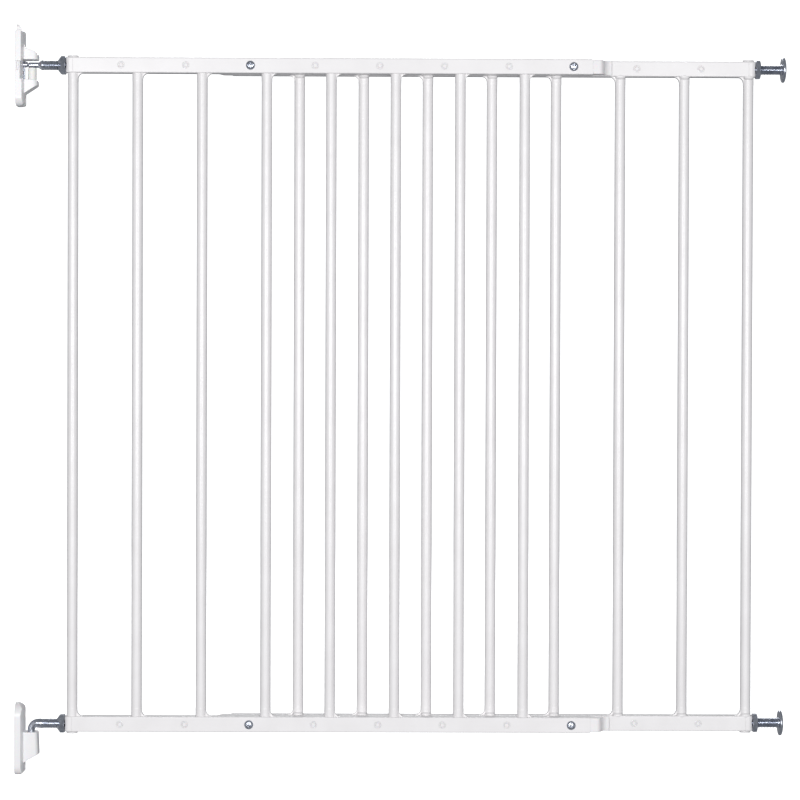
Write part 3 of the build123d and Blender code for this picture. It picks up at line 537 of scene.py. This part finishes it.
def make_lower_pin():
    """Threaded shank, a drawn quarter bend and a plain leg with a chamfered tip."""
    node = "lower_hinge_pin"
    low, high = box_mm(node)
    bend = BEND_RADIUS
    axis_x = low.x + LEG_RADIUS
    z = high.z - STUD_RADIUS
    bm = bmesh.new()
    rings = threaded_shank(bm, z, axis_x + SHANK_START, high.x)
    stations = [((axis_x + bend + 2.8, 0, z), 0, SHANK_RADIUS - 0.1)]
    for i in range(15):
        angle = 90 * i / 14
        turn = math.radians(angle)
        radius = max(LEG_RADIUS, SHANK_RADIUS - 0.3 - 0.9 * i / 9)
        point = (axis_x + bend - bend * math.sin(turn), 0, z - bend + bend * math.cos(turn))
        stations.append((point, -angle, radius))
    for height, radius in ((low.z + 0.9, LEG_RADIUS), (low.z, LEG_RADIUS - 0.8), (low.z, 0.02)):
        stations.append(((axis_x, 0, height), -90, radius))
    bridge(bm, rings + tube_rings(bm, stations))
    bmesh.ops.remove_doubles(bm, verts=bm.verts, dist=0.005)
    return piece("lower_bent_pin", bm, "gate", "zinc_plate", node, angle=40)


def make_upper_pin():
    """Threaded shank, a cone down to a necked elbow whose end is rounded, and a short leg."""
    node = "upper_hinge_pin"
    low, high = box_mm(node)
    neck = NECK_RADIUS
    axis_x = low.x + NECK_END
    z = high.z - STUD_RADIUS
    bm = bmesh.new()
    rings = threaded_shank(bm, z, axis_x + SHANK_START, high.x)
    profile = [(axis_x + 9.2, SHANK_RADIUS - 0.1), (axis_x + 8.4, SHANK_RADIUS - 0.5)]
    profile += [(axis_x + 7.0, neck + 0.5), (axis_x + 6.3, neck + 0.06), (axis_x + 5.6, neck)]
    profile += arc_profile((low.x + NECK_ROUND, neck - NECK_ROUND), NECK_ROUND, 90, 180, 8)
    profile += [(low.x, 0.02)]
    placed = Matrix.Translation((0, 0, z))
    rings += [plain_ring(bm, placed, along, radius) for along, radius in profile]
    bridge(bm, rings)
    leg = Matrix.Translation((axis_x, 0, 0)) @ Matrix.Rotation(math.radians(-90), 4, "Y")
    lathe(bm, [(low.z, 0), (low.z, LEG_RADIUS - 0.8), (low.z + 0.8, LEG_RADIUS), (z - 2.6, LEG_RADIUS),
               (z - 1.4, LEG_RADIUS - 0.9), (z - 1.0, 0)], leg, 48)
    bmesh.ops.remove_doubles(bm, verts=bm.verts, dist=0.005)
    return piece("upper_necked_pin", bm, "gate", "zinc_plate", node, angle=40)


make_lower_pin()
make_upper_pin()
for level in LEVELS:
    make_disc_bolt(level)

# ---------------------------------------------------------------- clamp screws


def cross_depth(u, v):
    """0 outside the cross recess and 1 on its floor, in millimetres from the screw's axis."""
    across, along = sorted((abs(u), abs(v)))
    side_wall = min(1.0, max(0.0, (0.72 - across) / 0.22))
    end_wall = min(1.0, max(0.0, (2.55 - along) / 0.9))
    return side_wall * end_wall


def screw_head(bm, x, z, face_y):
    """Domed head with a cross recess, facing -Y."""
    segments, height, radius = 72, 2.5, 4.45
    reaches = [0.35 * k for k in range(1, 10)] + [3.45, 3.75, 4.0, 4.2, 4.35, 4.43, radius]
    stations = [(r, 0.3 + (height - 0.3) * math.sqrt(1 - (r / radius) ** 2)) for r in reaches]
    stations += [(radius, 0.0), (2.4, 0.0)]
    centre = bm.verts.new((x, face_y - height + 1.3, z))
    rings = [[centre]]
    for r, rise in stations:
        ring = []
        for i in range(segments):
            turn = 2 * math.pi * i / segments
            u, v = r * math.cos(turn), r * math.sin(turn)
            depth = 1.3 * cross_depth(u, v) if r < 3.2 else 0.0
            ring.append(bm.verts.new((x + u, face_y - rise + depth, z + v)))
        rings.append(ring)
    bridge(bm, rings)


def make_clamp_screws():
    """Four pan-head screws whose threaded ends show past their lock nuts."""
    low, high = box_mm("clamp_screws")
    front_y, rear_y = low.y + SCREW_HEAD_HEIGHT, high.y
    bm = bmesh.new()
    for level in LEVELS:
        rail_bottom, rail_top = box_mm(f"front_{level}_rail")
        z = (rail_bottom.z + rail_top.z) / 2
        for x in (low.x + SCREW_HEAD_RADIUS, high.x - SCREW_HEAD_RADIUS):
            screw_head(bm, x, z, front_y)
            placed = Matrix.Translation((x, 0, z)) @ Matrix.Rotation(math.radians(90), 4, "Z")
            rings = [plain_ring(bm, placed, front_y, 0.02, 32), plain_ring(bm, placed, front_y, 2.3, 32)]
            rings += threaded_rings(placed, front_y + 0.4, rear_y - 0.4, 2.47, 0.42, SCREW_PITCH, bm, 32, 6)
            rings += [plain_ring(bm, placed, rear_y, 2.0, 32), plain_ring(bm, placed, rear_y, 0.02, 32)]
            bridge(bm, rings)
    bmesh.ops.remove_doubles(bm, verts=bm.verts, dist=0.005)
    return piece("clamp_screw_details", bm, "gate", "zinc_plate", "clamp_screws", angle=35)


make_clamp_screws()

# ---------------------------------------------------------------- studio

CAMERA_PLACE = (0.3581, -2.400, 0.3442)
CAMERA_YAW, CAMERA_PITCH, CAMERA_ROLL = 0.395, -0.638, 0.191
FOCAL_OVER_WIDTH = 2453.4 / 800
FLOOR_Z = cad_low.z - 0.030


def add_camera():
    data = bpy.data.cameras.new("camera")
    data.sensor_width = 36.0
    data.lens = 36.0 * FOCAL_OVER_WIDTH
    camera = bpy.data.objects.new("camera", data)
    bpy.context.scene.collection.objects.link(camera)
    yaw, pitch, roll = (math.radians(a) for a in (CAMERA_YAW, CAMERA_PITCH, CAMERA_ROLL))
    ahead = Vector((math.sin(yaw) * math.cos(pitch), math.cos(yaw) * math.cos(pitch), math.sin(pitch)))
    right = Vector((math.cos(yaw), -math.sin(yaw), 0))
    up = right.cross(ahead)
    right, up = right * math.cos(roll) + up * math.sin(roll), up * math.cos(roll) - right * math.sin(roll)
    turned = Matrix((right, up, -ahead)).transposed().to_4x4()
    camera.matrix_world = Matrix.Translation(CAMERA_PLACE) @ turned
    bpy.context.scene.camera = camera


def add_stage():
    """One seamless sheet of self-lit paper: floor, curved cove and back wall."""
    bm = bmesh.new()
    front, depth, rise, cove = -0.7, 4.6, 5.0, 0.8
    left_x, right_x = -1.6, 2.3
    line = [(front, 0.0), (depth - cove, 0.0)]
    for i in range(1, 12):
        turn = math.radians(90) * i / 12
        line.append((depth - cove + cove * math.sin(turn), cove - cove * math.cos(turn)))
    line += [(depth, cove), (depth, rise)]
    left = [bm.verts.new((left_x, y, FLOOR_Z + z)) for y, z in line]
    right = [bm.verts.new((right_x, y, FLOOR_Z + z)) for y, z in line]
    for i in range(len(line) - 1):
        bm.faces.new((left[i], right[i], right[i + 1], left[i + 1]))
    mesh = bpy.data.meshes.new("studio_sweep")
    bm.to_mesh(mesh)
    bm.free()
    mesh.shade_smooth()
    mesh.materials.append(studio_white())
    sweep = bpy.data.objects.new("studio_sweep", mesh)
    bpy.context.scene.collection.objects.link(sweep)
    sweep.visible_glossy = False
    sweep.visible_diffuse = False


def add_light(name, place, target, size, power, colour=(1, 1, 1)):
    data = bpy.data.lights.new(name, "AREA")
    data.shape = "RECTANGLE"
    data.size, data.size_y = size
    data.energy = power
    data.color = colour
    light = bpy.data.objects.new(name, data)
    bpy.context.scene.collection.objects.link(light)
    light.location = place
    light.rotation_euler = (Vector(target) - Vector(place)).to_track_quat("-Z", "Y").to_euler()


def add_world(colour, strength):
    world = bpy.data.worlds.new("studio")
    world.use_nodes = True
    back = world.node_tree.nodes["Background"]
    back.inputs["Color"].default_value = (*colour, 1)
    back.inputs["Strength"].default_value = strength
    bpy.context.scene.world = world


add_camera()
add_stage()
MIDDLE = (cad_low + cad_high) / 2
add_light("key", (-0.45, -2.7, 0.50), MIDDLE, (0.8, 0.7), 34)
add_light("fill", (1.15, -2.7, 0.42), MIDDLE, (0.8, 0.7), 29)
add_light("back", (MIDDLE.x, 2.6, 1.7), MIDDLE, (1.4, 0.8), 26)
add_world((0.93, 0.96, 1.0), 0.28)
bpy.context.scene.view_settings.view_transform = "Standard"
